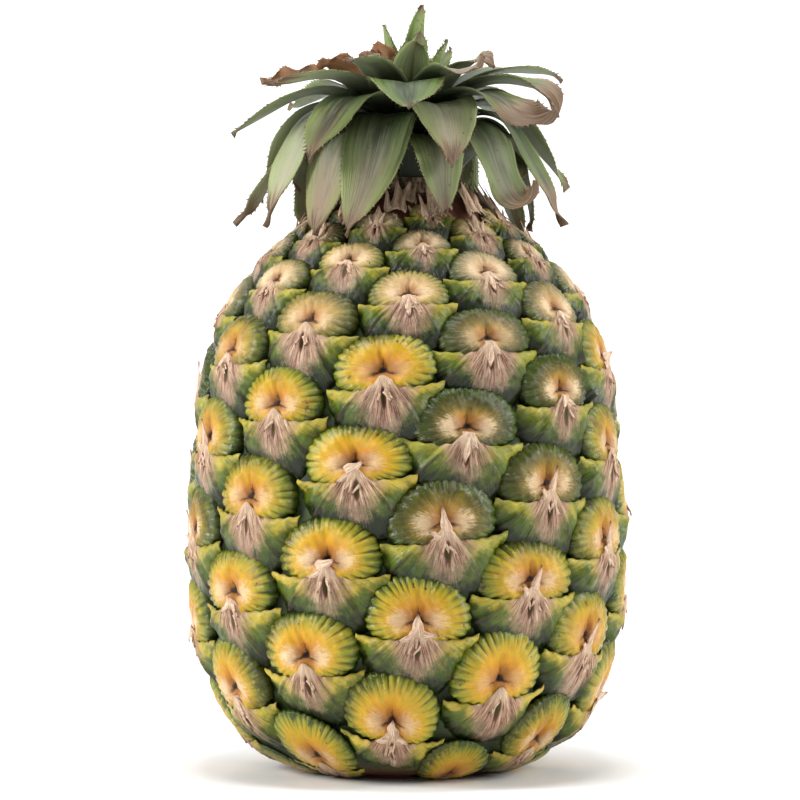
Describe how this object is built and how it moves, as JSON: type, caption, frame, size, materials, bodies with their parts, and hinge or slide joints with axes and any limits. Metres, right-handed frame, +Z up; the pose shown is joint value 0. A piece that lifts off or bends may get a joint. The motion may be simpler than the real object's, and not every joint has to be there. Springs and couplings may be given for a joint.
{
  "type": "pineapple",
  "caption": "Whole fresh pineapple standing on its cut base, with a ripening rind of spiralling fruitlets and a short spreading crown of arched leaves.",
  "frame": {"origin": "middle of the cut stalk's face, level with the foot that the fruit stands on", "axes": "+Z up along the fruit's axis to the crown, -Y towards the side that the picture shows"},
  "size_m": [0.1254, 0.1256, 0.2198],
  "materials": {
    "rind": "waxy rind, orange-yellow to green, with matte papery bracts",
    "stalk": "dry fibrous cut",
    "stem": "pale green fibrous stem",
    "leaf": "dark green leaf with a grey bloom and dry tips"
  },
  "bodies": {
    "root": {"fruit": "rind", "cut_stalk": "stalk", "crown_stem": "stem", "leaf_01": "leaf", "leaf_02": "leaf", "leaf_03": "leaf", "leaf_04": "leaf", "leaf_05": "leaf", "leaf_06": "leaf", "leaf_07": "leaf", "leaf_08": "leaf", "leaf_09": "leaf", "leaf_10": "leaf", "leaf_11": "leaf", "leaf_12": "leaf", "leaf_13": "leaf", "leaf_14": "leaf", "leaf_15": "leaf", "leaf_16": "leaf", "leaf_17": "leaf", "leaf_18": "leaf", "leaf_19": "leaf", "leaf_20": "leaf", "leaf_21": "leaf", "leaf_22": "leaf", "leaf_23": "leaf", "leaf_24": "leaf", "leaf_25": "leaf", "leaf_26": "leaf", "leaf_27": "leaf", "leaf_28": "leaf", "leaf_29": "leaf", "leaf_30": "leaf", "leaf_31": "leaf", "leaf_32": "leaf", "leaf_33": "leaf", "leaf_34": "leaf", "leaf_35": "leaf", "leaf_36": "leaf", "leaf_37": "leaf", "leaf_38": "leaf", "leaf_39": "leaf", "leaf_40": "leaf", "leaf_41": "leaf", "leaf_42": "leaf", "leaf_43": "leaf", "leaf_44": "leaf", "leaf_45": "leaf", "leaf_46": "leaf"}
  },
  "joints": []
}
